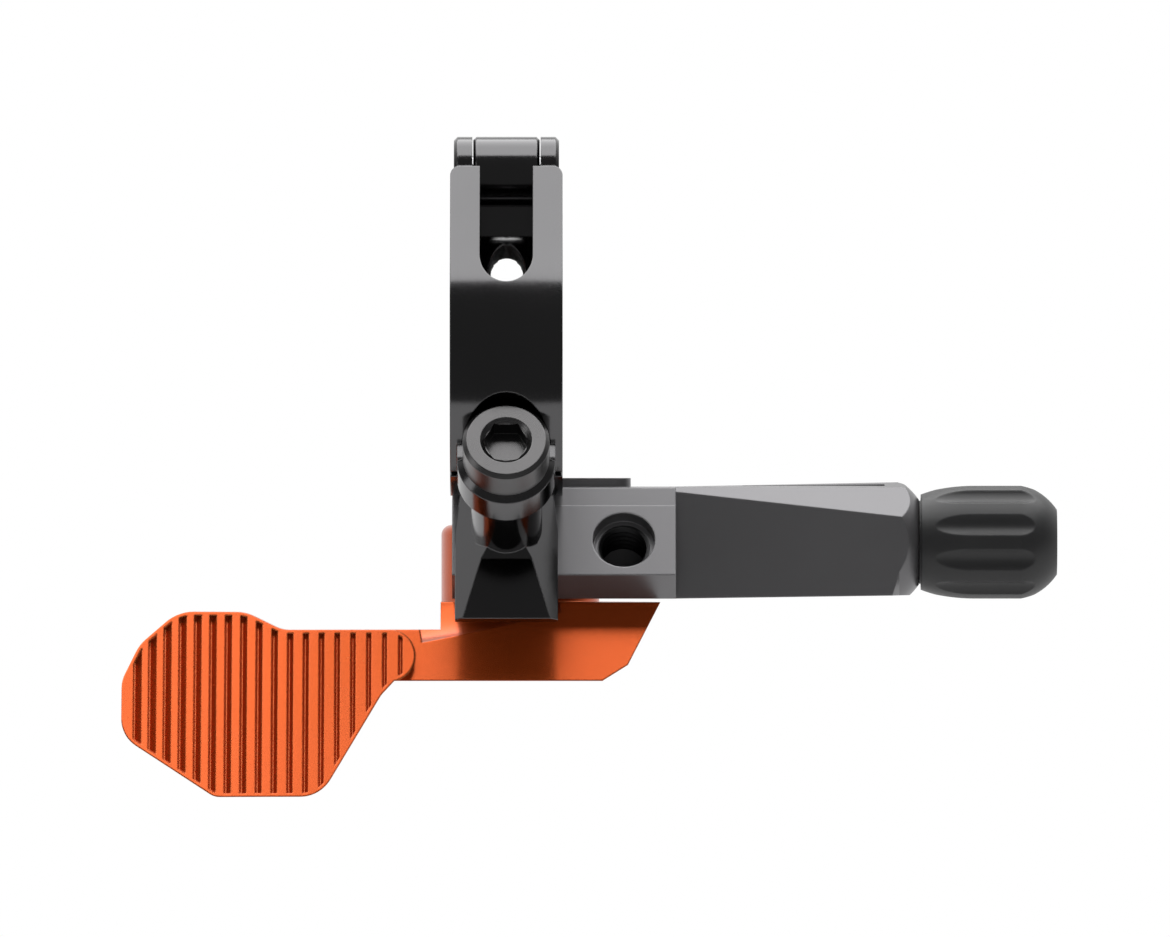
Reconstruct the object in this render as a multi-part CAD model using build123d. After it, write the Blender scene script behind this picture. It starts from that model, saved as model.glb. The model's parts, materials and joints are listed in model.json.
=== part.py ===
from build123d import *
import math
import os

# A thumb lever on a hinged handlebar clamp that pulls the cable of a telescopic saddle post.
# Millimetres. +X runs along the bar towards the cable adjuster, +Y forwards, away from the
# rider, and +Z up. The origin is the centre of the bar bore.

# Clamp ring
bar_radius = 11.1
ring_wall = 3.2
clamp_width = 11.0
hinge_above_bore = 6.4
knuckle_radius = 3.4
tongue_width = 6.5
hinge_pin_radius = 1.5
hinge_side_gap = 0.1
ear_inset = 0.35
hinge_split = 0.4
ledge_rise = 2.8
running_gap = 0.03
knuckle_gap = 0.3
flat_rise = 0.5
flat_corner = 0.9
jaw_gap = 0.9
window_width = 5.2
window_bottom = 6.67
sight_hole_radius = 1.8
sight_hole_slope = 10.0
sight_hole_height = 6.8

# Bolt line, in the frame that is turned with the bolt: u along the bolt, a across it
tilt_angle = 30.0
bolt_below_bore = 3.94
bolt_radius = 2.5
bolt_head_radius = 4.25
bolt_head_height = 3.5
bolt_seat = 4.9
bolt_key = 4.0
bolt_key_depth = 2.2
lug_radius = 4.8
lug_hole_play = 0.5
head_pocket_gap = 0.35
boss_radius = 3.5

# Foot, measured forwards and down from the plate that it stands on
foot_depth_top = 3.3
foot_depth_bottom = 2.1
foot_width_top = 5.0
foot_width_bottom = 8.6
foot_width = 10.1
foot_below_plate = 6.1
foot_back_below_plate = 5.3
shelf_depth = 5.6

# Lever body: a plate square to the bolt, with two threaded holes side by side
plate_behind_bore = 0.1
land_step = 0.25
plate_above_bolt = 6.04
plate_below_bolt = 3.96
plate_thickness = 4.7
body_left = -5.35
body_right = 16.6
hole_pitch = 11.5
spigot_radius = 3.05
spigot_depth = 1.6
thread_depth = 5.9
body_rear_gap = 0.3
ear_right = 12.2

# Cable line, measured from the bolt's seat on the plate, and arm
cable_behind_seat = 8.5205
cable_below_seat = 0.245
cable_bore_radius = 1.2
arm_front_depth = 5.4
arm_end = 42.0
arm_dome_radius = 5.4
arm_dome_depth = 3.4
slot_width = 1.5
slot_start = 23.2
slot_end = 37.2

# Pivot, measured from the cable line
pivot_x = 1.3
pivot_behind_cable = 10.3
ear_above_cable = 2.07
ear_thickness = 4.25
ear_reach = 14.0
hub_radius = 7.8
hub_height = 15.1
hub_gap = 0.4
washer_thickness = 0.9
washer_radius = 4.0
bearing_bore = 3.0
bearing_outside = 6.0
bearing_width = 4.0
bearing_pitch = 9.0
race_wall = 0.95
ball_radius = 0.8
ball_count = 8
ball_play = 0.02
seal_thickness = 0.35
seal_inset = 0.05
pivot_head_radius = 5.0
pivot_head_height = 1.6
pivot_key = 4.0
pivot_key_depth = 2.2
pivot_thread_radius = 2.0
ear_radius = 8.2

# Lever blade
blade_gap = 0.8
blade_thickness = 5.0
neck_below_cable = 8.58
neck_height = 5.0
blade_under_gap = 0.35
paddle_proud = 1.0
paddle_thickness = 4.2
paddle_curve = 70.0
rib_pitch = 1.55
groove_width_first = 0.42
groove_width_last = 0.92
groove_angle = 56.0
groove_count = 18
groove_margin = 0.35
paddle_start = -9.0
cable_seat_radius = 2.1
cable_seat_length = 4.2
nose_half_width = 2.75
nose_half_height = 2.8
nose_gap = 0.3
nose_end_wall = 0.4
rest_swing = 12.5
scoop_ahead_of_cable = 9.5
scoop_below_cable = 3.43
scoop_left = -9.4
scoop_right = 4.6
scoop_radius = 6.7
scoop_rise = 0.17

# Cable adjuster
barrel_thread_radius = 3.0
barrel_length = 11.0
barrel_shoulder = 0.6
barrel_lead = 0.4
barrel_sleeve_radius = 3.9
housing_radius = 2.55
housing_depth = 8.0
knob_overlap = 1.25
knob_length = 13.4
knob_small_radius = 4.7
knob_radius = 5.65
knob_mouth_radius = 2.9
knob_swell_length = 5.25
knob_close_length = 3.55
knob_wall = 0.35
sleeve_inset = 1.85
knob_bore_gap = 0.02
flute_count = 10
flute_radius = 1.6
flute_depth = 0.5
o_ring_section = 0.55

tilt = Location((0, 0, 0), (-tilt_angle, 0, 0))
cos_tilt = math.cos(math.radians(tilt_angle))
sin_tilt = math.sin(math.radians(tilt_angle))
far = 60.0


def along_x(radius, x0, x1, y, z):
    """A rod along X."""
    start = Plane((x0, y, z), x_dir=(0, 1, 0), z_dir=(1, 0, 0))
    return extrude(start * Circle(radius), x1 - x0, dir=(1, 0, 0))


def along_u(radius, u0, u1, x, a):
    """A rod along the bolt direction, still in the untilted frame."""
    start = Plane((x, u0, a), x_dir=(1, 0, 0), z_dir=(0, 1, 0))
    return extrude(start * Circle(radius), u1 - u0)


def along_z(radius, z0, z1, x, y):
    """An upright rod."""
    return extrude(Plane((x, y, z0)) * Circle(radius), z1 - z0)


def side_prism(points, x0, x1):
    """A side outline of (y, z) points, carried along X."""
    start = Plane((x0, 0, 0), x_dir=(0, 1, 0), z_dir=(1, 0, 0))
    return extrude(start * Polygon(*points, align=None), x1 - x0, dir=(1, 0, 0))


def front_prism(face, y0, y1):
    """A front outline in (x, z), carried along Y."""
    start = Plane((0, y0, 0), x_dir=(1, 0, 0), z_dir=(0, -1, 0))
    return extrude(start * face, y1 - y0, dir=(0, 1, 0))


def plan_prism(face, z0, z1):
    """A plan outline in (x, y), carried upwards."""
    return extrude(Plane((0, 0, z0)) * face, z1 - z0, dir=(0, 0, 1))


def block(x0, x1, y0, y1, z0, z1):
    """A box between two corners."""
    return Pos((x0 + x1) / 2, (y0 + y1) / 2, (z0 + z1) / 2) * Box(x1 - x0, y1 - y0, z1 - z0)


def local_point(u, a):
    """The (y, z) place of a point of the bolt frame."""
    return u * cos_tilt + a * sin_tilt, -u * sin_tilt + a * cos_tilt


def at_local(shape):
    """Turns a shape from the bolt frame into the part's frame."""
    return tilt * shape


# Places that follow from the sizes above

half_width = clamp_width / 2
ring_radius = bar_radius + ring_wall
hinge_height = bar_radius + hinge_above_bore
ledge_height = bar_radius + ledge_rise
bolt_offset = bar_radius + bolt_below_bore
plate_face = bar_radius + plate_behind_bore
plate_top = bolt_offset - plate_above_bolt
plate_bottom = bolt_offset + plate_below_bolt
land_top = bolt_offset - bolt_below_bore
bolt_tip = plate_face + plate_thickness - 0.1
foot_front = plate_face - foot_depth_top
foot_bottom_front = plate_face - foot_depth_bottom
shelf_front = plate_face - shelf_depth
foot_drop = plate_bottom + foot_below_plate
foot_back_drop = plate_bottom + foot_back_below_plate
blade_face = plate_face + plate_thickness + blade_gap

seat_y, seat_z = local_point(plate_face, -bolt_offset)
cable_y = seat_y + cable_behind_seat
cable_z = seat_z - cable_below_seat
arm_front = cable_y - arm_front_depth
pivot_y = cable_y + pivot_behind_cable
ear_underside = cable_z + ear_above_cable
ear_top = ear_underside + ear_thickness
hub_top = ear_underside - hub_gap
hub_bottom = hub_top - hub_height
neck_top = cable_z - neck_below_cable
blade_bottom = neck_top - neck_height
scoop_y = cable_y - scoop_ahead_of_cable
scoop_z = cable_z - scoop_below_cable

knob_start = arm_end - knob_overlap
knob_end = knob_start + knob_length
knob_swell = knob_start + knob_swell_length
knob_shoulder = knob_end - knob_close_length
sleeve_end = knob_end - sleeve_inset

# Clamp: both jaws share a flat that runs tangent from the hinge knuckle to the ring

tangent_lean = math.asin((ring_radius - knuckle_radius) / hinge_height)
tangent_y = ring_radius * math.cos(tangent_lean)
tangent_z = ring_radius * math.sin(tangent_lean)


def ring_side(rear):
    """One jaw's share of the ring: split at the hinge above and at the bolt below."""
    ring = along_x(ring_radius, -half_width, half_width, 0, 0)
    above = hinge_split if rear else -hinge_split
    below = 0.0 if rear else -jaw_gap
    side = far if rear else -far
    foot_of_split = local_point(below, -far)
    split = [(above, far), (above, 0), local_point(below, -1.0), foot_of_split,
             (side, foot_of_split[1]), (side, far)]
    return ring & side_prism(split, -half_width, half_width)


def foot_block():
    """The block below the ring that stands on the lever body, with its slanted foot."""
    half = foot_width / 2
    outline = [
        (shelf_front, -ring_radius + ring_wall / 2),
        (2.0, -bar_radius - ring_wall / 2),
        (shelf_front, -bolt_offset),
        (foot_front, -plate_bottom),
        (foot_bottom_front, -foot_drop),
        (plate_face, -foot_back_drop),
        (plate_face, -plate_top),
    ]
    body = side_prism([(u, a) for u, a in outline], -half, half)
    # The foot's sides lean back from its front face, which widens downwards
    for side in (-1, 1):
        top = Vector(side * foot_width_top / 2, foot_front, -plate_bottom)
        bottom = Vector(side * foot_width_bottom / 2, foot_bottom_front, -foot_drop)
        back = Vector(side * half, plate_face - 0.6, -plate_bottom)
        normal = (bottom - top).cross(back - top)
        if normal.X * side < 0:
            normal = normal * -1
        cutter = Plane(top, x_dir=bottom - top, z_dir=normal)
        body -= extrude(cutter * Rectangle(far, far), far / 2)
    return body


def clamp_base_solid():
    """Rear jaw: ring, hinge tongue, bolt boss and foot."""
    ledge = 0.9
    tongue = side_prism([
        (hinge_split, bar_radius), (hinge_split, ledge_height),
        (hinge_split + ledge, ledge_height + ledge), (hinge_split + ledge, hinge_height),
        (knuckle_radius * math.cos(tangent_lean), hinge_height + knuckle_radius * math.sin(tangent_lean)),
        (tangent_y, tangent_z), (tangent_y - ring_wall, tangent_z - 1.0),
    ], -tongue_width / 2, tongue_width / 2)
    knuckle = along_x(knuckle_radius, -tongue_width / 2, tongue_width / 2, 0, hinge_height)
    knuckle = chamfer(knuckle.edges(), 0.3)
    ear_space = along_x(knuckle_radius + knuckle_gap, -far, far, 0, hinge_height)
    ear_space -= block(-tongue_width / 2, tongue_width / 2, -far, far, 0, far)
    foot = foot_block() + along_u(boss_radius, 0, plate_face - 2.5, 0, -bolt_offset)
    spigot_end = plate_face + spigot_depth - 0.1
    foot += along_u(spigot_radius - running_gap, plate_face - 0.5, spigot_end, 0, -bolt_offset)
    body = ring_side(True) - ear_space + tongue + knuckle
    body -= at_local(block(-far, far, plate_face, far, -far, -plate_top))
    body += at_local(foot)
    body -= at_local(along_u(bolt_radius + 0.25, -far, far, 0, -bolt_offset))
    body -= along_x(bar_radius, -far, far, 0, 0)
    body -= along_x(hinge_pin_radius + running_gap, -far, far, 0, hinge_height)
    slope = math.radians(sight_hole_slope)
    hole_start = Plane((0, ring_radius, sight_hole_height), x_dir=(1, 0, 0),
                       z_dir=(0, -math.cos(slope), math.sin(slope)))
    body -= extrude(hole_start * Circle(sight_hole_radius), ring_radius)
    return body


def clamp_strap_solid():
    """Camera-side jaw: ears, two flat arms beside a slot, ring and bolt lug."""
    ears = along_x(knuckle_radius, -half_width + ear_inset, half_width - ear_inset, 0, hinge_height)
    ears = chamfer(ears.edges(), 0.35)
    flat_top = hinge_height + flat_rise
    flat_top_y = tangent_y - (flat_top - tangent_z) * math.tan(tangent_lean)
    arms = side_prism([
        (-flat_top_y, flat_top), (-hinge_split, flat_top), (-hinge_split, bar_radius),
        (-tangent_y + ring_wall, tangent_z - 1.0), (-tangent_y, tangent_z),
    ], -half_width, half_width)
    arms &= front_prism(RectangleRounded(clamp_width, 2 * flat_top, flat_corner), -far, 0)
    neck = side_prism([
        (-bolt_seat, -bolt_offset), (-jaw_gap, -bolt_offset), (-jaw_gap, -bar_radius),
        (-bolt_seat, -bar_radius),
    ], -lug_radius, lug_radius)
    lug = along_u(lug_radius, -bolt_seat, -jaw_gap, 0, -bolt_offset)
    lug = chamfer(lug.edges().group_by(Axis.Y)[0], 0.7)
    lower = neck + lug
    body = ring_side(False) + arms + ears + at_local(lower)
    body -= at_local(along_u(bolt_head_radius + head_pocket_gap, -far, -bolt_seat, 0, -bolt_offset))
    body -= at_local(along_u(bolt_radius + lug_hole_play, -far, far, 0, -bolt_offset))
    body -= along_x(bar_radius, -far, far, 0, 0)
    tongue_space = tongue_width / 2 + hinge_side_gap
    body -= along_x(knuckle_radius + knuckle_gap, -tongue_space, tongue_space, 0, hinge_height)
    window_arc = window_bottom + window_width / 2
    window = (Pos(0, window_arc + far / 2) * Rectangle(window_width, far)
              + Pos(0, window_arc) * Circle(window_width / 2))
    body -= front_prism(window, -far, 0.0)
    body -= along_x(hinge_pin_radius + running_gap, -far, far, 0, hinge_height)
    return body


def hinge_pin_solid():
    length = half_width - ear_inset - 0.2
    pin = along_x(hinge_pin_radius, -length, length, 0, hinge_height)
    return chamfer(pin.edges(), 0.2)


def clamp_bolt_solid():
    """A low-head cap screw with a hexagon socket."""
    head = along_u(bolt_head_radius, -bolt_seat - bolt_head_height, -bolt_seat, 0, -bolt_offset)
    head = chamfer(head.edges().sort_by(Axis.Y)[0], 0.4)
    shank = along_u(bolt_radius, -bolt_seat, bolt_tip, 0, -bolt_offset)
    shank = chamfer(shank.edges().sort_by(Axis.Y)[-1], 0.5)
    head_face = Plane((0, -bolt_seat - bolt_head_height, -bolt_offset), x_dir=(1, 0, 0), z_dir=(0, 1, 0))
    key = extrude(head_face * RegularPolygon(bolt_key / 2, 6, major_radius=False), bolt_key_depth)
    mouth = extrude(head_face * Circle(bolt_key / 2 + 0.55), 0.45, taper=45)
    return at_local(head + shank - key - mouth)


# Lever body: plate, roof and ear over the lever hub, and the faceted arm

hub_front = pivot_y - hub_radius
roof = local_point(plate_face, -plate_top)[1]
anchor_reach = (pivot_y - cable_y) / math.cos(math.radians(rest_swing))
nose_length = cable_seat_length / 2 + nose_end_wall
nose_reach = math.hypot(anchor_reach + nose_half_width, nose_length)
nose_root = anchor_reach - nose_half_width


def plate_solid():
    top_front = local_point(plate_face + land_step, -plate_top)
    bottom_front = local_point(plate_face, -plate_bottom)
    bottom_back = local_point(plate_face + plate_thickness, -plate_bottom)
    rear = hub_front - body_rear_gap
    points = [
        top_front,
        local_point(plate_face + land_step, -land_top),
        local_point(plate_face, -land_top),
        bottom_front,
        bottom_back,
        (rear, bottom_back[1] + 1.6),
        (rear, roof),
    ]
    return side_prism(points, body_left, body_right)


def ear_solid():
    root = RectangleRounded(ear_right - body_left, ear_reach, 1.8)
    outline = (Pos(pivot_x, pivot_y) * Circle(ear_radius)
               + Pos((body_left + ear_right) / 2, pivot_y - ear_reach / 2) * root)
    return plan_prism(outline, ear_underside, ear_top) & block(body_left, far, 0, far, -far, 0)


def arm_solid():
    """The arm tapers from the plate to the adjuster: (y, z) outlines at both ends, from the cable line."""
    start = [
        (arm_front + 0.6, roof), (arm_front, roof - 0.5), (arm_front, cable_z - 5.53),
        (cable_y + 2.6, cable_z - 5.53), (cable_y + 4.6, cable_z - 2.93),
        (cable_y + 4.6, cable_z + 3.27), (cable_y + 2.4, roof),
    ]
    end = [
        (cable_y - 1.4, cable_z + 5.37), (arm_front, cable_z + 2.17), (arm_front, cable_z - 5.18),
        (cable_y + 2.4, cable_z - 5.18), (cable_y + 5.4, cable_z - 2.13),
        (cable_y + 5.4, cable_z + 2.17), (cable_y + 2.0, cable_z + 5.97),
    ]
    first = Plane((body_right, 0, 0), x_dir=(0, 1, 0), z_dir=(1, 0, 0)) * Polygon(*start, align=None)
    last = Plane((arm_end, 0, 0), x_dir=(0, 1, 0), z_dir=(1, 0, 0)) * Polygon(*end, align=None)
    arm = loft([first, last], ruled=True)
    # A turned limit rounds the arm's end into a dome about the cable line
    straight, wide = arm_end - arm_dome_depth, arm_dome_radius + 0.7
    limit = Polyline((body_right - 1, 0), (body_right - 1, far), (straight - 3.0, far),
                     (straight - 3.0, 12), (straight, wide))
    dome = ThreePointArc((straight, wide), (arm_end - 0.75, arm_dome_radius * 0.56), (arm_end, 0))
    close = Line((arm_end, 0), (body_right - 1, 0))
    front = Plane((0, cable_y, cable_z), x_dir=(1, 0, 0), z_dir=(0, -1, 0))
    keep = revolve(front * make_face(limit + dome + close), Axis((0, cable_y, cable_z), (1, 0, 0)))
    return arm & keep


def lever_body_solid():
    body = plate_solid() + ear_solid() + arm_solid()
    # Space for the lever's cable nose, open below and to the left
    nose_corner = math.radians(rest_swing) + math.atan2(nose_length, anchor_reach + nose_half_width)
    sweep_right = pivot_x + nose_reach * math.sin(nose_corner) + nose_gap
    sweep = along_z(nose_reach + nose_gap, -far, cable_z + nose_half_height + nose_gap, pivot_x, pivot_y)
    sweep &= block(-far, sweep_right, -far, pivot_y, -far, far)
    sweep -= along_z(nose_root - nose_gap, ear_underside, far, pivot_x, pivot_y)
    body -= sweep
    body -= along_z(hub_radius + body_rear_gap, -far, ear_underside, pivot_x, pivot_y)
    body -= along_x(cable_bore_radius, 0, far, cable_y, cable_z)
    body -= block(slot_start, slot_end, cable_y - slot_width / 2, cable_y + slot_width / 2, cable_z, 0)
    thread_start = arm_end - barrel_length - barrel_shoulder
    body -= along_x(barrel_thread_radius + running_gap, thread_start, far, cable_y, cable_z)
    mouth = barrel_thread_radius + 2 * o_ring_section + 0.1
    body -= along_x(mouth, arm_end - 2.2, far, cable_y, cable_z)
    for x in (0, hole_pitch):
        body -= at_local(along_u(bolt_radius + running_gap, 0, plate_face + thread_depth, x, -bolt_offset))
        body -= at_local(along_u(spigot_radius, 0, plate_face + spigot_depth, x, -bolt_offset))
    body -= along_z(pivot_thread_radius + running_gap, -far, ear_top - 0.8, pivot_x, pivot_y)
    return body


# Pivot: two sealed bearings on a shouldered bolt, screwed up into the ear

bearing_top = ear_underside - washer_thickness
lower_bearing_top = bearing_top - bearing_pitch
bearing_stack_end = lower_bearing_top - bearing_width


def ring_z(outer, inner, z0, z1):
    """An upright ring on the pivot axis."""
    return along_z(outer, z0, z1, pivot_x, pivot_y) - along_z(inner, z0 - 1, z1 + 1, pivot_x, pivot_y)


inner_race_radius = bearing_bore + race_wall
outer_race_bore = bearing_outside - race_wall
ball_circle = (inner_race_radius + outer_race_bore) / 2


def ball_groove(z_top):
    middle = z_top - bearing_width / 2
    return Pos(pivot_x, pivot_y, middle) * Torus(ball_circle, ball_radius + ball_play)


def outer_race(z_top):
    race = ring_z(bearing_outside - 0.01, outer_race_bore, z_top - bearing_width, z_top)
    return race - ball_groove(z_top)


def inner_race(z_top):
    race = ring_z(inner_race_radius, bearing_bore, z_top - bearing_width, z_top)
    return race - ball_groove(z_top)


def balls(z_top):
    middle = z_top - bearing_width / 2
    places = PolarLocations(ball_circle, ball_count)
    return [Pos(pivot_x, pivot_y, middle) * place * Sphere(ball_radius) for place in places]


def seals(z_top):
    outer = outer_race_bore - 0.005
    inner = inner_race_radius + running_gap
    low = z_top - bearing_width
    return [
        ring_z(outer, inner, z_top - seal_thickness - seal_inset, z_top - seal_inset),
        ring_z(outer, inner, low + seal_inset, low + seal_thickness + seal_inset),
    ]


def pivot_washer_solid():
    return ring_z(washer_radius, bearing_bore, bearing_top, ear_underside)


def bearing_spacer_solid():
    return ring_z(inner_race_radius - 0.1, bearing_bore, lower_bearing_top, bearing_top - bearing_width)


def pivot_bolt_solid():
    head_top = bearing_stack_end
    head_low = head_top - pivot_head_height
    head = along_z(pivot_head_radius, head_low, head_top, pivot_x, pivot_y)
    head = chamfer(head.edges().sort_by(Axis.Z)[0], 0.3)
    shoulder = along_z(bearing_bore - 0.01, head_top, ear_underside, pivot_x, pivot_y)
    thread = along_z(pivot_thread_radius, ear_underside, ear_top - 1.0, pivot_x, pivot_y)
    hexagon = RegularPolygon(pivot_key / 2, 6, major_radius=False)
    key = extrude(Plane((pivot_x, pivot_y, head_low)) * hexagon, pivot_key_depth)
    return head + shoulder + thread - key


# Lever blade: hub, front plate, neck and ribbed paddle in one piece


def blade_front_outline():
    """Front plate and neck, as seen by the rider."""
    top = local_point(plate_face + plate_thickness, -plate_bottom)[1] - blade_under_gap
    points = [
        (-12.0, blade_bottom), (9.4, blade_bottom), (11.9, blade_bottom + 1.55), (15.1, top),
        (pivot_x - hub_radius, top), (pivot_x - hub_radius, neck_top), (-12.0, neck_top),
    ]
    return Polygon(*points, align=None)


def blade_plan_outline():
    """The same piece from above: from the front plate back to the hub."""
    points = [
        (-14.0, -8.0), (16.0, -8.0), (16.0, pivot_y - 12.0), (pivot_x + hub_radius * 0.86, pivot_y + 3.9),
        (pivot_x - hub_radius, pivot_y), (pivot_x - hub_radius, pivot_y - 9.5), (-14.0, pivot_y - 11.5),
    ]
    return Polygon(*points, align=None) + Pos(pivot_x, pivot_y) * Circle(hub_radius)


def slab(face_u, thickness, x0, x1):
    """Everything between two planes square to the bolt direction."""
    return at_local(block(x0, x1, face_u, face_u + thickness, -far, far))


def paddle_outline(inset=0.0):
    """The paddle's front outline, rounded at each of its corners."""
    corners = [
        ((-22.0, neck_top), 3.0), ((-25.6, neck_top + 1.75), 4.0), ((-32.2, neck_top + 1.8), 4.0),
        ((-35.9, neck_top - 1.4), 4.0), ((-37.6, neck_top - 4.9), 3.0), ((-37.6, neck_top - 10.3), 3.2),
        ((-28.5, neck_top - 16.25), 1.8), ((-18.2, neck_top - 16.25), 3.4), ((-12.3, neck_top - 6.4), 2.6),
    ]
    upper, lower = (-11.5, neck_top), (-11.0, blade_bottom)
    tip = (paddle_start, (neck_top + blade_bottom) / 2)
    face = make_face(Polyline(upper, *[point for point, radius in corners], lower)
                     + ThreePointArc(lower, tip, upper))
    for point, radius in corners:
        corner = min(face.vertices(), key=lambda vertex: (Vector(vertex) - Vector(*point)).length)
        face = fillet(corner, radius)
    if inset:
        face = offset(face, -inset)
    return face


def curved_slab(face_u, thickness):
    """The paddle bends towards the rider: a slab round an axis across the bolt direction."""
    centre = Plane((paddle_start, face_u - paddle_curve, -far), x_dir=(1, 0, 0), z_dir=(0, 0, 1))
    outer = extrude(centre * Circle(paddle_curve + thickness), 2 * far)
    inner = extrude(centre * Circle(paddle_curve), 2 * far)
    return at_local(outer - inner)


def groove_cutters():
    """V grooves across the paddle, side by side along its curve and wider towards the tip."""
    face_u = blade_face - paddle_proud
    step = math.degrees(rib_pitch / paddle_curve)
    centre = Plane((paddle_start, face_u - paddle_curve, -far), x_dir=(1, 0, 0), z_dir=(0, 0, 1))
    keep = front_prism(paddle_outline(groove_margin), -30, 30)
    cutters = []
    for number in range(groove_count):
        share = number / (groove_count - 1)
        width = groove_width_first + share * (groove_width_last - groove_width_first)
        slope = 2 * math.tan(math.radians(groove_angle / 2))
        mouth = width + slope * groove_margin
        low, high = paddle_curve - groove_margin, paddle_curve + width / slope
        vee = Polygon((-mouth / 2, low), (mouth / 2, low), (0, high), align=None)
        rod = centre * Rot(Z=step * (number + 0.9)) * vee
        cutters.append(at_local(extrude(rod, 2 * far)) & keep)
    return cutters


def paddle_solid():
    return front_prism(paddle_outline(), -30, 30) & curved_slab(
        blade_face - paddle_proud, paddle_thickness + paddle_proud)


def lever_blade_solid():
    wide = front_prism(blade_front_outline(), -8, 30)
    top = local_point(plate_face + plate_thickness, -plate_bottom)[1] - blade_under_gap
    base = wide & plan_prism(blade_plan_outline(), blade_bottom, top)
    base &= slab(blade_face, far, -far, far)
    # The neck is thin: everything left of the hub behind it is open
    open_left = at_local(block(-far, pivot_x - hub_radius, blade_face + blade_thickness, far, -far, far))
    base -= open_left
    hub = along_z(hub_radius, hub_bottom, hub_top, pivot_x, pivot_y)
    hub = fillet(hub.edges().sort_by(Axis.Z)[-1], 1.0)
    anchor_x = pivot_x + anchor_reach * math.sin(math.radians(rest_swing))
    nose = block(-nose_length, nose_length, -anchor_reach - nose_half_width, -nose_root,
                 cable_z - nose_half_height, cable_z + nose_half_height)
    nose = fillet(nose.edges().filter_by(Axis.Z).group_by(Axis.Y)[0], 1.0)
    nose += block(-nose_length, nose_length, -nose_root - 0.5, 3.0 - hub_radius,
                  cable_z - nose_half_height, hub_top)
    nose = Pos(pivot_x, pivot_y) * Rot(Z=rest_swing) * nose
    body = base + hub + nose + paddle_solid()
    # Hollow under the clamp's foot
    scoop = Plane((scoop_left, scoop_y, scoop_z), x_dir=(0, 1, 0), z_dir=(1, 0, scoop_rise))
    body -= extrude(scoop * Circle(scoop_radius), scoop_right - scoop_left)
    for cutter in groove_cutters():
        body -= cutter
    body -= along_z(bearing_outside, hub_bottom - 1, lower_bearing_top, pivot_x, pivot_y)
    body -= along_z(bearing_outside, bearing_top - bearing_width, 0, pivot_x, pivot_y)
    body -= along_z(bearing_outside - 0.8, -far, 0, pivot_x, pivot_y)
    seat_end = anchor_x + cable_seat_length / 2 - 1.2
    body -= along_x(cable_seat_radius, anchor_x - 6.0, seat_end, cable_y, cable_z)
    body -= along_x(cable_bore_radius, anchor_x, anchor_x + 6.0, cable_y, cable_z)
    return body


# Cable adjuster


def barrel_profile():
    start = arm_end - barrel_length
    sleeve = arm_end + barrel_shoulder
    seat = sleeve_end - housing_depth
    return [
        (start, cable_bore_radius), (start, barrel_thread_radius - barrel_lead),
        (start + barrel_lead, barrel_thread_radius), (sleeve, barrel_thread_radius),
        (sleeve, barrel_sleeve_radius), (sleeve_end, barrel_sleeve_radius), (sleeve_end, housing_radius),
        (seat, housing_radius), (seat, cable_bore_radius),
    ]


def turned(points):
    """A turned piece on the cable line, from an outline of (x, radius) points."""
    start = Plane((0, cable_y, cable_z), x_dir=(1, 0, 0), z_dir=(0, -1, 0))
    return revolve(start * Polygon(*points, align=None), Axis((0, cable_y, cable_z), (1, 0, 0)))


def adjuster_knob_solid():
    """The fluted knob: it swells from the arm, runs straight and closes in over the sleeve's end."""
    bore = barrel_sleeve_radius + knob_bore_gap
    rim = knob_mouth_radius + 0.3
    stop = sleeve_end + 0.05
    swell = ThreePointArc((knob_start, knob_small_radius), (knob_start + 2.25, knob_radius - 0.3),
                          (knob_swell, knob_radius))
    crown = Line((knob_swell, knob_radius), (knob_shoulder, knob_radius))
    close = ThreePointArc((knob_shoulder, knob_radius), (knob_end - 1.45, knob_radius - 0.95),
                          (knob_end, rim))
    inside = Polyline((knob_end, rim), (knob_end, knob_mouth_radius), (stop, knob_mouth_radius),
                      (stop, bore), (arm_end + barrel_shoulder, bore), (knob_start, knob_small_radius - knob_wall),
                      (knob_start, knob_small_radius))
    outline = make_face(swell + crown + close + inside)
    front = Plane((0, cable_y, cable_z), x_dir=(1, 0, 0), z_dir=(0, -1, 0))
    knob = revolve(front * outline, Axis((0, cable_y, cable_z), (1, 0, 0)))
    reach = knob_radius + flute_radius - flute_depth
    for number in range(flute_count):
        angle = math.radians(360 / flute_count * (number + 0.5))
        knob -= along_x(flute_radius, knob_start - 1, knob_end + 1,
                        cable_y + reach * math.cos(angle), cable_z + reach * math.sin(angle))
    return knob


def o_ring_solid():
    centre = Plane((arm_end - 1.2, cable_y, cable_z), x_dir=(0, 1, 0), z_dir=(1, 0, 0))
    return centre * Torus(barrel_thread_radius + o_ring_section + 0.02, o_ring_section)


nodes = {
    "clamp_base": clamp_base_solid(),
    "clamp_strap": clamp_strap_solid(),
    "hinge_pin": hinge_pin_solid(),
    "clamp_bolt": clamp_bolt_solid(),
    "lever_body": lever_body_solid(),
    "lever_blade": lever_blade_solid(),
    "pivot_bolt": pivot_bolt_solid(),
    "pivot_washer": pivot_washer_solid(),
    "bearing_spacer": bearing_spacer_solid(),
    "adjuster_barrel": turned(barrel_profile()),
    "adjuster_knob": adjuster_knob_solid(),
    "adjuster_o_ring": o_ring_solid(),
}
for name, z_top in (("upper", bearing_top), ("lower", lower_bearing_top)):
    nodes[name + "_bearing_outer"] = outer_race(z_top)
    nodes[name + "_bearing_inner"] = inner_race(z_top)
    nodes[name + "_bearing_balls"] = Compound(balls(z_top))
    nodes[name + "_bearing_seals"] = Compound(seals(z_top))

os.makedirs("parts", exist_ok=True)
for name, shape in nodes.items():
    export_step(shape, "parts/" + name + ".step")
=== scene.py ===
import json
import math

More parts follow.
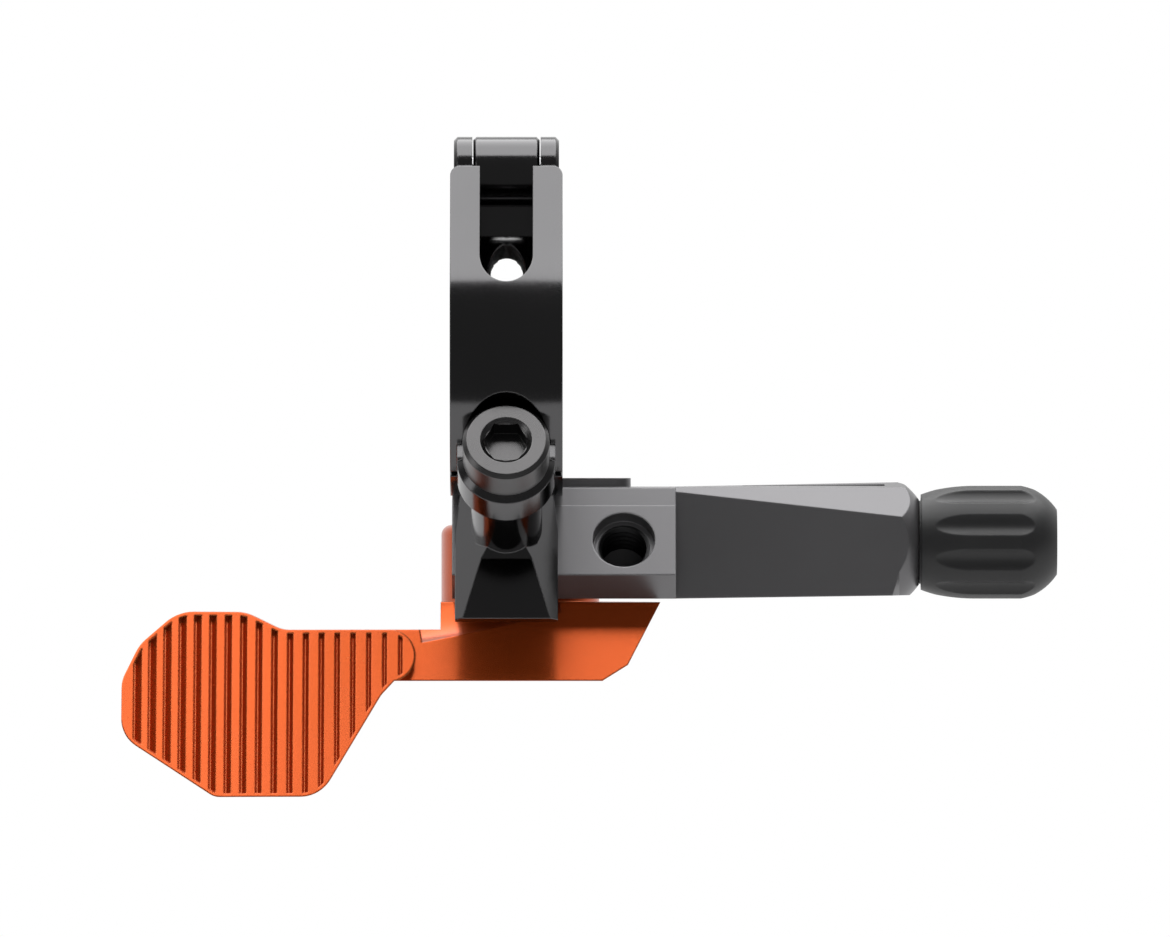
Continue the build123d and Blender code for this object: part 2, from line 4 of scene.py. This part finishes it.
import bpy
import numpy as np
from bpy.props import FloatProperty, FloatVectorProperty, PointerProperty
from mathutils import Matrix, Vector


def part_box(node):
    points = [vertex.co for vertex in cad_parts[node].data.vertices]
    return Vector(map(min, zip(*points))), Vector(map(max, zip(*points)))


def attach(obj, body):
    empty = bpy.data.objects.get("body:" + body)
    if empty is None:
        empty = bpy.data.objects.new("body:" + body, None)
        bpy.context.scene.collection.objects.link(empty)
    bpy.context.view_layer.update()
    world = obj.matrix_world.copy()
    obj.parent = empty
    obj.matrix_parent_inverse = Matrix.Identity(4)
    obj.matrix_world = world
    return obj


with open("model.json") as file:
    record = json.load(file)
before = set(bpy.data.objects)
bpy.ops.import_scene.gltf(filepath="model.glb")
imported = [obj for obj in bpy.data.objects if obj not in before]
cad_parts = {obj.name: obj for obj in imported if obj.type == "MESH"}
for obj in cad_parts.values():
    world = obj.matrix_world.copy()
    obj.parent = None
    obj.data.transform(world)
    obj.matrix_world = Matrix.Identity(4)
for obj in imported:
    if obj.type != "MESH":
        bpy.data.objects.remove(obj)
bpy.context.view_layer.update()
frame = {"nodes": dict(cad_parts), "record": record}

bl_info = {
    "name": "Thumb lever for a telescopic saddle post",
    "version": (1, 0, 0),
    "blender": (4, 5, 0),
    "location": "View3D > Sidebar > Thumb lever",
    "description": "Finishes, threads and studio for a handlebar thumb lever on a hinged clamp",
    "category": "Object",
}

MM = 0.001

# The photograph's frame: its size, its scale on the part, and the pixel of the bar bore's centre
PHOTO_SIZE = (1170, 937)
PIXELS_PER_MM = 10.2
BORE_PIXEL = (506.5, 350.0)
SENSOR_WIDTH = 36.0

# Shapes of the part that the threads and the turning marks follow
TILT = math.radians(30.0)
BOLT_AXIS_OFFSET = 15.04 * MM
RING_RADIUS = 14.3 * MM
BORE_RADIUS = 11.1 * MM
SIGHT_HEIGHT = 6.8 * MM
SIGHT_SLOPE = math.radians(10.0)
SIGHT_RADIUS = 1.79 * MM

# Grids of the threads, and how far inside the faces of the ring the sight hole's thread ends
THREAD_COLUMNS = 72
SPARE_HOLE_ROWS = 66
SIGHT_HOLE_ROWS = 120
THREAD_INSET = 0.05 * MM

# Colours of the pieces that have no setting
BOLT_OXIDE = (0.11, 0.108, 0.109)
PIVOT_OXIDE = (0.075, 0.074, 0.075)
GROUND_STEEL = (0.5, 0.5, 0.51)
BEARING_STEEL = (0.55, 0.55, 0.56)
PLAIN_STEEL = (0.48, 0.48, 0.48)
RUBBER = (0.02, 0.02, 0.021)
BARREL_BLACK = (0.1, 0.1, 0.103)
# The edge tints are lighter than the pieces: partly thin dye and partly a painted highlight along the edges
BARREL_EDGE_TINT = (0.2, 0.2, 0.2)
# Darker than the clamp and body the threads are cut in: painted shade inside the holes
THREAD_SHADED_BLACK = (0.045, 0.045, 0.046)
THREAD_EDGE_TINT = (0.06, 0.06, 0.06)
WHITE = (1.0, 1.0, 1.0, 1.0)

# Radii that the materials round edges to
CLAMP_EDGE = 0.2 * MM
BODY_EDGE = 0.22 * MM
KNOB_EDGE = 0.28 * MM
STEEL_EDGE = 0.12 * MM
BARREL_EDGE = 0.1 * MM
SMALL_EDGE = 0.05 * MM

# Scales of the noises, in waves per metre
CLOUDS = 95.0
# Breaks up the lighter edges, which are partly rubbed dye and partly a painted highlight
RUBBING_AND_HIGHLIGHT = 420.0
BLASTED_GRAIN = 2600.0
FINE_GRAIN = 3200.0
STEEL_SHADES = 300.0
SKIN = 3400.0
SKIN_SHADES = 170.0

# Heights of the fine reliefs
GRAIN_HEIGHT = 2.5e-6
TURNING_HEIGHT = 1.2e-6
SKIN_HEIGHT = 7.0e-6

# Turning marks: how far apart they are, and the length of one wave of the wave texture at scale 1
MARK_SPACING = 0.16 * MM
WIDE_MARK_SPACING = 0.2 * MM
UNIT_WAVE = 0.314

# The floor sheet, the grey of its shaded share and the share that is plain white where it is looked at
FLOOR_HEIGHT = -0.075
FLOOR_FRONT = -0.09
FLOOR_BACK = 0.7
FLOOR_HALF_WIDTH = 0.75
FLOOR_GREY = (0.66, 0.66, 0.66, 1.0)
FLOOR_WHITENESS = 0.7

# How steeply the white wall behind the part sets in with the Y of the direction looked in
WALL_RISE = 2.0

# Lights: name, place, target, size, share of the softbox power, and whether mirroring surfaces show it
LIGHTS = (
    ("overhead_softbox", (0.01, 0.06, 0.5), (0.01, 0.06, 0.0), (1.1, 0.82), 1.0, True),
    ("side_softbox", (-0.75, -0.35, 0.12), (0.0, 0.0, -0.02), (0.3, 0.5), 0.08, True),
    ("front_fill", (0.1, -0.7, -0.05), (0.0, 0.0, -0.03), (0.5, 0.3), 0.25, False),
)


class Socket:
    """A shader value that takes part in plain Python arithmetic."""

    def __init__(self, shader, link):
        self.shader = shader
        self.link = link

    def maths(self, operation, first, second):
        return self.shader.node("ShaderNodeMath", {"operation": operation}, {0: first, 1: second})

    def __add__(self, other):
        return self.maths("ADD", self, other)

    def __radd__(self, other):
        return self.maths("ADD", other, self)

    def __sub__(self, other):
        return self.maths("SUBTRACT", self, other)

    def __rsub__(self, other):
        return self.maths("SUBTRACT", other, self)

    def __mul__(self, other):
        return self.maths("MULTIPLY", self, other)

    def __rmul__(self, other):
        return self.maths("MULTIPLY", other, self)

    def swing(self, amount):
        """The value, from 0 to 1, turned into a change of up to half the amount either way."""
        return (self - 0.5) * amount


class Shader:
    """A node tree that one method builds."""

    def __init__(self, tree):
        self.tree = tree
        tree.nodes.clear()

    def node(self, kind, settings=None, inputs=None, output=0):
        """Adds a node: its settings first, then the values or links of its sockets."""
        made = self.tree.nodes.new(kind)
        for key, value in (settings or {}).items():
            setattr(made, key, value)
        for key, value in (inputs or {}).items():
            if isinstance(value, Socket):
                self.tree.links.new(value.link, made.inputs[key])
            else:
                made.inputs[key].default_value = value
        return Socket(self, made.outputs[output]) if len(made.outputs) else None

    def clamp(self, value):
        """The value, kept between 0 and 1."""
        return self.node("ShaderNodeClamp", None, {"Value": value})

    def blend(self, factor, first, second):
        """One colour turning into another."""
        return self.node("ShaderNodeMix", {"data_type": "RGBA"}, {0: factor, 6: first, 7: second}, output=2)

    def seen_rays(self):
        """1 for the rays that look at the background, straight or in a mirror or through glass."""
        rays = [self.node("ShaderNodeLightPath", output=name)
                for name in ("Is Camera Ray", "Is Glossy Ray", "Is Transmission Ray")]
        return self.clamp(rays[0] + rays[1] + rays[2])


def shade(tint, gain=1.0):
    """A tint with full alpha, made brighter or darker."""
    return tuple(min(1.0, channel * gain) for channel in tint[:3]) + (1.0,)


class Finish(Shader):
    """A material that reads its pattern from the piece's own place."""

    def __init__(self, name):
        self.material = bpy.data.materials.new(name)
        self.material.use_nodes = True
        super().__init__(self.material.node_tree)
        self.place = self.node("ShaderNodeTexCoord", output="Object")

    def noise(self, scale, detail=2.0):
        """Smooth noise from 0 to 1, in waves per metre."""
        return self.node("ShaderNodeTexNoise", None, {"Vector": self.place, "Scale": scale, "Detail": detail})

    def mottled(self, pattern, tint, spread):
        """A tint that a pattern from 0 to 1 makes darker and brighter by the spread."""
        return self.blend(pattern, shade(tint, 1.0 - spread), shade(tint, 1.0 + spread))

    def rings(self, centre, turn, spacing):
        """Turning marks: rings round an axis that a turn about X lays along Z."""
        moved = self.node("ShaderNodeVectorMath", {"operation": "SUBTRACT"}, {0: self.place, 1: centre})
        laid = self.node("ShaderNodeMapping", None, {"Vector": moved, "Rotation": (turn, 0.0, 0.0)})
        return self.node("ShaderNodeTexWave", {"wave_type": "RINGS", "rings_direction": "Z"},
                         {"Vector": laid, "Scale": UNIT_WAVE / spacing, "Distortion": 0.6, "Detail": 2.0})

    def soft_edges(self, radius):
        """Normals that round sharp edges off."""
        return self.node("ShaderNodeBevel", {"samples": 6}, {"Radius": radius})

    def edge_mask(self, rounded, gain):
        """Near 1 along edges, where the rounded normal leaves the true one, and 0 on open faces."""
        true = self.node("ShaderNodeNewGeometry", output="True Normal")
        match = self.node("ShaderNodeVectorMath", {"operation": "DOT_PRODUCT"}, {0: rounded, 1: true},
                          output="Value")
        return self.clamp((1.0 - match) * gain)

    def bump(self, pattern, height, strength, normal):
        """A fine relief of a pattern from 0 to 1, with its height in metres."""
        return self.node("ShaderNodeBump", None,
                         {"Height": pattern, "Distance": height, "Strength": strength, "Normal": normal})

    def surface(self, inputs):
        """Ends the material in one principled surface."""
        shader = self.node("ShaderNodeBsdfPrincipled", None, inputs)
        self.node("ShaderNodeOutputMaterial", None, {"Surface": shader})
        return self.material


def anodised(name, tint, roughness, edge_tint, edge_radius, grain=BLASTED_GRAIN, metal=1.0):
    """Anodised aluminium: faint clouds, a fine blasted grain, and lighter edges, part thin dye, part painted
    highlight.
    """
    finish = Finish(name)
    clouds = finish.noise(CLOUDS, 3.0)
    grit = finish.noise(grain)
    rounded = finish.soft_edges(edge_radius)
    # Lighter edge colour: partly wear where the dye is thin, partly a painted highlight along the chamfers
    rubbed_and_highlit = finish.clamp(finish.edge_mask(rounded, 1.6) * (0.3 + 0.9 * finish.noise(RUBBING_AND_HIGHLIGHT, 3.0)))
    return finish.surface({
        "Base Color": finish.blend(rubbed_and_highlit, finish.mottled(clouds, tint, 0.07), shade(edge_tint)),
        "Metallic": metal,
        "Roughness": roughness + clouds.swing(0.1) + grit.swing(0.06),
        "Normal": finish.bump(grit, GRAIN_HEIGHT, 0.3, rounded),
    })


def machined(name, tint, roughness, centre, turn=0.0, spacing=MARK_SPACING):
    """Machined steel: turning marks round the piece's axis, a slight change of shade and bright edges."""
    finish = Finish(name)
    marks = finish.rings(centre, turn, spacing)
    wide = finish.noise(STEEL_SHADES, 3.0)
    rounded = finish.soft_edges(STEEL_EDGE)
    edges = finish.edge_mask(rounded, 1.6)
    return finish.surface({
        "Base Color": finish.blend(edges, finish.mottled(wide, tint, 0.15), shade(tint, 1.9)),
        "Metallic": 1.0,
        "Roughness": roughness + marks.swing(0.05) + wide.swing(0.1),
        "Normal": finish.bump(marks, TURNING_HEIGHT, 0.5, rounded),
    })


def moulded(name, tint, roughness, edge_radius):
    """Matt plastic or rubber with a fine skin and slightly polished edges."""
    finish = Finish(name)
    skin = finish.noise(SKIN, 3.0)
    wide = finish.noise(SKIN_SHADES)
    rounded = finish.soft_edges(edge_radius)
    worn = finish.edge_mask(rounded, 1.5)
    return finish.surface({
        "Base Color": finish.blend(worn, finish.mottled(wide, tint, 0.15), shade(tint, 1.7)),
        "Roughness": roughness + skin.swing(0.12) - worn * 0.12,
        "Normal": finish.bump(skin, SKIN_HEIGHT, 0.55, rounded),
        "Specular IOR Level": 0.42,
    })


def dress(material, *nodes):
    """Gives one material to every slot of the named CAD nodes."""
    for name in nodes:
        for slot in frame["nodes"][name].material_slots:
            slot.material = material


def middle_of(node):
    """The middle of a CAD node's box."""
    low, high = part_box(node)
    return tuple((a + b) / 2 for a, b in zip(low, high))


def grid_mesh(name, points, closed=False):
    """A mesh on a grid of points, (rows, columns, 3), with one quad for each cell. On a closed grid the last
    column joins the first."""
    rows, columns = points.shape[:2]
    index = np.arange(rows * columns).reshape(rows, columns)
    if closed:
        index = np.concatenate([index, index[:, :1]], axis=1)
    quads = np.stack([index[:-1, :-1], index[1:, :-1], index[1:, 1:], index[:-1, 1:]], axis=-1)
    quads = quads.reshape(-1, 4)
    mesh = bpy.data.meshes.new(name)
    mesh.from_pydata(points.reshape(-1, 3).tolist(), [], quads.tolist())
    mesh.polygons.foreach_set("use_smooth", np.ones(len(quads), dtype=bool))
    piece = bpy.data.objects.new(name, mesh)
    bpy.context.scene.collection.objects.link(piece)
    return piece


def spokes(along, columns):
    """The turn of each column round an axis that lies in the plane of Y and Z, and the way it points."""
    along = np.array(along)
    side = np.array((1.0, 0.0, 0.0))
    third = np.cross(along, side)
    turn = np.linspace(0.0, 2.0 * math.pi, columns, endpoint=False)
    return turn, np.cos(turn)[:, None] * side + np.sin(turn)[:, None] * third


def hole_thread(start, along, first, last, radius, depth, pitch, rows):
    """The thread in a hole. Round the axis the radius is the hole's less the depth times one minus a triangle
    wave of travel / pitch - turn / 2 pi, so a ridge climbs one pitch in each turn. Each column of the grid
    runs from its own first to its own last travel, so that the ends can follow a slanted or round face, and
    the first and last rows step out to the hole's wall."""
    turn, spoke = spokes(along, len(first))
    share = np.pad(np.linspace(0.0, 1.0, rows), 1, mode="edge")[:, None]
    travel = first[None, :] * (1.0 - share) + last[None, :] * share
    phase = (travel / pitch - turn[None, :] / (2.0 * math.pi)) % 1.0
    reach = radius - depth * (1.0 - np.abs(2.0 * phase - 1.0))
    reach[[0, -1]] = radius
    return np.array(start) + travel[..., None] * np.array(along) + reach[..., None] * spoke[None, :, :]


def travel_to_round(start, along, radius, columns, round_radius):
    """How far along a hole's wall, for each column, a round face about the X axis lies: the nearer root of
    the quadratic for the wall's distance from that axis."""
    spoke = spokes(along, columns)[1]
    wall = (np.array(start) + radius * spoke)[:, 1:]
    run = np.array(along)[1:]
    a = run @ run
    b = 2.0 * wall @ run
    c = np.sum(wall * wall, axis=1) - round_radius ** 2
    return (-b - np.sqrt(b * b - 4.0 * a * c)) / (2.0 * a)


class ClampSettings(bpy.types.PropertyGroup):
    tint: FloatVectorProperty(
        name="Clamp colour", description="Colour of the gloss anodised clamp", subtype="COLOR",
        size=3, min=0.0, max=1.0, default=(0.095, 0.094, 0.096))
    roughness: FloatProperty(
        name="Clamp roughness", description="How matt the clamp is", min=0.02, max=1.0, default=0.15)


class BodySettings(bpy.types.PropertyGroup):
    tint: FloatVectorProperty(
        name="Body colour", description="Colour of the satin anodised body and arm", subtype="COLOR",
        size=3, min=0.0, max=1.0, default=(0.13, 0.128, 0.132))
    roughness: FloatProperty(
        name="Body roughness", description="How matt the body is", min=0.02, max=1.0, default=0.34)


class BladeSettings(bpy.types.PropertyGroup):
    tint: FloatVectorProperty(
        name="Blade colour", description="Colour of the anodised lever blade", subtype="COLOR",
        size=3, min=0.0, max=1.0, default=(0.46, 0.072, 0.012))
    # The edge colour is partly thin dye and partly a painted highlight along the blade's edges
    edge: FloatVectorProperty(
        name="Edge colour", description="Colour of the blade's edges, where the dye is thin", subtype="COLOR",
        size=3, min=0.0, max=1.0, default=(0.62, 0.2, 0.07))
    roughness: FloatProperty(
        name="Blade roughness", description="How matt the blade is", min=0.02, max=1.0, default=0.25)


class AdjusterSettings(bpy.types.PropertyGroup):
    tint: FloatVectorProperty(
        name="Knob colour", description="Colour of the adjuster's knob", subtype="COLOR",
        size=3, min=0.0, max=1.0, default=(0.011, 0.011, 0.0115))
    roughness: FloatProperty(
        name="Knob roughness", description="How matt the knob is", min=0.02, max=1.0, default=0.44)


class ThreadSettings(bpy.types.PropertyGroup):
    bolt_pitch: FloatProperty(
        name="Bolt thread pitch", description="Pitch of the M5 thread", unit="LENGTH", default=0.8 * MM)
    bolt_depth: FloatProperty(
        name="Bolt thread depth", description="Depth of the M5 thread", unit="LENGTH", default=0.4 * MM)
    sight_pitch: FloatProperty(
        name="Sight hole pitch", description="Pitch of the thread in the sight hole", unit="LENGTH",
        default=0.5 * MM)
    sight_depth: FloatProperty(
        name="Sight hole depth", description="Depth of the thread in the sight hole", unit="LENGTH",
        default=0.2 * MM)


class StageSettings(bpy.types.PropertyGroup):
    distance: FloatProperty(
        name="Camera distance", description="From the camera to the bar bore", unit="LENGTH", default=2.5)
    softbox: FloatProperty(
        name="Softbox power", description="Power of the overhead light", subtype="POWER", default=9.0)
    room: FloatProperty(
        name="Room light", description="Brightness of the room round the part",
        min=0.0, max=1.0, default=0.12)


class LEVER_OT_clamp(bpy.types.Operator):
    """Gives the clamp its gloss black anodising, and the clamp bolt and the hinge pin their steel"""
    bl_idname = "lever.clamp"
    bl_label = "Finish clamp"

    def execute(self, context):
        settings = context.scene.lever_clamp
        # The lighter edge shade is partly worn dye and partly a painted highlight along the edges
        gloss = anodised("gloss_black_anodised", settings.tint, settings.roughness,
                         shade(settings.tint, 2.2), CLAMP_EDGE)
        oxide = machined("black_oxide", BOLT_OXIDE, 0.3,
                         (0.0, -BOLT_AXIS_OFFSET * math.sin(TILT), -BOLT_AXIS_OFFSET * math.cos(TILT)),
                         TILT - math.pi / 2)
        ground = machined("ground_steel", GROUND_STEEL, 0.25, middle_of("hinge_pin"))
        dress(gloss, "clamp_base", "clamp_strap")
        dress(oxide, "clamp_bolt")
        dress(ground, "hinge_pin")
        return {"FINISHED"}


class LEVER_OT_body(bpy.types.Operator):
    """Gives the body and its arm their satin black anodising"""
    bl_idname = "lever.body"
    bl_label = "Finish body"

    def execute(self, context):
        settings = context.scene.lever_body
        # The lighter edge shade is partly worn dye and partly a painted highlight along the edges
        satin = anodised("satin_black_anodised", settings.tint, settings.roughness,
                         shade(settings.tint, 1.8), BODY_EDGE, grain=FINE_GRAIN, metal=0.75)
        dress(satin, "lever_body")
        return {"FINISHED"}


class LEVER_OT_blade(bpy.types.Operator):
    """Gives the lever blade its orange anodising"""
    bl_idname = "lever.blade"
    bl_label = "Finish blade"

    def execute(self, context):
        settings = context.scene.lever_blade
        orange = anodised("orange_anodised", settings.tint, settings.roughness,
                          settings.edge, BODY_EDGE, metal=0.75)
        dress(orange, "lever_blade")
        return {"FINISHED"}


class LEVER_OT_pivot(bpy.types.Operator):
    """Finishes the bearings, the spacer, the washer and the bolt of the pivot"""
    bl_idname = "lever.pivot"
    bl_label = "Finish pivot"

    def execute(self, context):
        middle = middle_of("pivot_bolt")
        steel = machined("bearing_steel", BEARING_STEEL, 0.2, middle, spacing=WIDE_MARK_SPACING)
        rubber = moulded("seal_rubber", RUBBER, 0.6, SMALL_EDGE)
        for side in ("upper", "lower"):
            dress(steel, side + "_bearing_outer", side + "_bearing_inner", side + "_bearing_balls")
            dress(rubber, side + "_bearing_seals")
        dress(machined("plain_steel", PLAIN_STEEL, 0.35, middle), "bearing_spacer", "pivot_washer")
        dress(machined("pivot_oxide", PIVOT_OXIDE, 0.3, middle), "pivot_bolt")
        return {"FINISHED"}


class LEVER_OT_adjuster(bpy.types.Operator):
    """Finishes the adjuster's knob, barrel and ring"""
    bl_idname = "lever.adjuster"
    bl_label = "Finish adjuster"

    def execute(self, context):
        settings = context.scene.lever_adjuster
        barrel = anodised("barrel_anodised", BARREL_BLACK, 0.3, BARREL_EDGE_TINT, BARREL_EDGE)
        dress(moulded("knob_plastic", settings.tint, settings.roughness, KNOB_EDGE), "adjuster_knob")
        dress(barrel, "adjuster_barrel")
        dress(moulded("ring_rubber", RUBBER, 0.55, SMALL_EDGE), "adjuster_o_ring")
        return {"FINISHED"}


class LEVER_OT_threads(bpy.types.Operator):
    """Adds the threads that show in the spare bolt hole and in the clamp's sight hole"""
    bl_idname = "lever.threads"
    bl_label = "Add threads"

    def execute(self, context):
        settings = context.scene.lever_threads
        # Darker than the clamp and body around it: painted shade inside the holes; the lighter edges are
        # partly a painted highlight
        dark = anodised("thread_anodised_in_painted_shade", THREAD_SHADED_BLACK, 0.4, THREAD_EDGE_TINT, SMALL_EDGE)

        mount = next(item for item in frame["record"]["mounts"] if item["name"] == "spare_bolt_hole")
        half = np.full(THREAD_COLUMNS, mount["dims"]["length_mm"] * MM / 2)
        points = hole_thread(mount["pos_m"], mount["axis"], -half, half, mount["dims"]["r_mm"] * MM,
                             settings.bolt_depth, settings.bolt_pitch, SPARE_HOLE_ROWS)
        self.place("spare_hole_thread", points, dark, "body_black")

        start = (0.0, RING_RADIUS, SIGHT_HEIGHT)
        along = (0.0, -math.cos(SIGHT_SLOPE), math.sin(SIGHT_SLOPE))
        outer, inner = (travel_to_round(start, along, SIGHT_RADIUS, THREAD_COLUMNS, radius)
                        for radius in (RING_RADIUS - THREAD_INSET, BORE_RADIUS + THREAD_INSET))
        points = hole_thread(start, along, outer, inner, SIGHT_RADIUS,
                             settings.sight_depth, settings.sight_pitch, SIGHT_HOLE_ROWS)
        self.place("sight_hole_thread", points, dark, "clamp_black")
        return {"FINISHED"}

    @staticmethod
    def place(name, points, material, slot):
        """Puts a thread's surface in its hole."""
        piece = grid_mesh(name, points, closed=True)
        piece.data.materials.append(material)
        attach(piece, "body")


class LEVER_OT_stage(bpy.types.Operator):
    """Sets up the pale floor, the lights, the room and the camera"""
    bl_idname = "lever.stage"
    bl_label = "Set the stage"

    def execute(self, context):
        scene = context.scene
        settings = scene.lever_stage
        self.floor()
        for name, place, target, size, share, mirrored in LIGHTS:
            self.light(name, place, target, size, settings.softbox * share, mirrored)
        self.room(scene, settings.room)
        self.camera(scene, settings.distance)
        scene.view_settings.view_transform = "Standard"
        return {"FINISHED"}

    @staticmethod
    def floor():
        """A flat sheet of paper below the part. It is mostly white where it is looked at, and keeps a share
        of its shading and of the part's shadow."""
        points = np.empty((2, 2, 3))
        points[..., 0] = np.array([FLOOR_HALF_WIDTH, -FLOOR_HALF_WIDTH])[:, None]
        points[..., 1] = (FLOOR_FRONT, FLOOR_BACK)
        points[..., 2] = FLOOR_HEIGHT
        sheet = grid_mesh("floor", points)
        paper = Finish("floor_paper")
        lit = paper.node("ShaderNodeBsdfDiffuse", None, {"Color": FLOOR_GREY})
        white = paper.node("ShaderNodeEmission", None, {"Color": WHITE, "Strength": 1.0})
        mixed = paper.node("ShaderNodeMixShader", None,
                           {0: paper.seen_rays() * FLOOR_WHITENESS, 1: lit, 2: white})
        paper.node("ShaderNodeOutputMaterial", None, {"Surface": mixed})
        sheet.data.materials.append(paper.material)

    @staticmethod
    def light(name, place, target, size, power, mirrored):
        """A rectangular light that faces its target."""
        lamp = bpy.data.lights.new(name, "AREA")
        lamp.shape = "RECTANGLE"
        lamp.size, lamp.size_y = size
        lamp.energy = power
        box = bpy.data.objects.new(name, lamp)
        bpy.context.scene.collection.objects.link(box)
        box.visible_glossy = mirrored
        box.location = place
        x, y, z = (end - begin for begin, end in zip(place, target))
        flat = math.hypot(x, y)
        heading = math.atan2(y, x) - math.pi / 2 if flat else 0.0
        box.rotation_euler = (math.atan2(flat, -z), 0.0, heading)

    @staticmethod
    def room(scene, strength):
        """A dim room with a white wall behind the part. The wall's share grows with the Y of the direction
        looked in, and the camera sees white all round."""
        scene.world = bpy.data.worlds.new("room")
        scene.world.use_nodes = True
        room = Shader(scene.world.node_tree)
        direction = room.node("ShaderNodeTexCoord", output="Generated")
        behind = room.node("ShaderNodeSeparateXYZ", None, {"Vector": direction}, output="Y")
        straight = room.node("ShaderNodeLightPath", output="Is Camera Ray")
        share = room.clamp(straight + room.seen_rays() * room.clamp(behind * WALL_RISE))
        dim = room.node("ShaderNodeBackground", None, {"Color": WHITE, "Strength": strength})
        wall = room.node("ShaderNodeBackground", None, {"Color": WHITE, "Strength": 1.0})
        mixed = room.node("ShaderNodeMixShader", None, {0: share, 1: dim, 2: wall})
        room.node("ShaderNodeOutputWorld", None, {"Surface": mixed})

    @staticmethod
    def camera(scene, distance):
        """A long lens, level with the part, that frames it as the photograph does."""
        metres_per_pixel = MM / PIXELS_PER_MM
        width, height = PHOTO_SIZE
        data = bpy.data.cameras.new("camera")
        data.sensor_width = SENSOR_WIDTH
        data.lens = SENSOR_WIDTH * distance / (width * metres_per_pixel)
        camera = bpy.data.objects.new("camera", data)
        scene.collection.objects.link(camera)
        camera.location = ((width / 2 - BORE_PIXEL[0]) * metres_per_pixel, -distance,
                           (BORE_PIXEL[1] - height / 2) * metres_per_pixel)
        camera.rotation_euler = (math.pi / 2, 0.0, 0.0)
        scene.camera = camera


STEPS = (
    ("lever_clamp", ClampSettings, LEVER_OT_clamp),
    ("lever_body", BodySettings, LEVER_OT_body),
    ("lever_blade", BladeSettings, LEVER_OT_blade),
    ("lever_pivot", None, LEVER_OT_pivot),
    ("lever_adjuster", AdjusterSettings, LEVER_OT_adjuster),
    ("lever_threads", ThreadSettings, LEVER_OT_threads),
    ("lever_stage", StageSettings, LEVER_OT_stage),
)


class LEVER_PT_panel(bpy.types.Panel):
    """Lists the steps and their settings"""
    bl_label = "Thumb lever"
    bl_space_type = "VIEW_3D"
    bl_region_type = "UI"
    bl_category = "Thumb lever"

    def draw(self, context):
        for name, settings, operator in STEPS:
            box = self.layout.box()
            box.operator(operator.bl_idname)
            if settings is not None:
                group = getattr(context.scene, name)
                for key in settings.__annotations__:
                    box.prop(group, key)


def register():
    for name, settings, operator in STEPS:
        if settings is not None:
            bpy.utils.register_class(settings)
            setattr(bpy.types.Scene, name, PointerProperty(type=settings))
        bpy.utils.register_class(operator)
    bpy.utils.register_class(LEVER_PT_panel)


def unregister():
    bpy.utils.unregister_class(LEVER_PT_panel)
    for name, settings, operator in reversed(STEPS):
        bpy.utils.unregister_class(operator)
        if settings is not None:
            delattr(bpy.types.Scene, name)
            bpy.utils.unregister_class(settings)


def main():
    """Runs every step in order."""
    register()
    bpy.ops.lever.clamp()
    bpy.ops.lever.body()
    bpy.ops.lever.blade()
    bpy.ops.lever.pivot()
    bpy.ops.lever.adjuster()
    bpy.ops.lever.threads()
    bpy.ops.lever.stage()


if __name__ == "__main__":
    main()
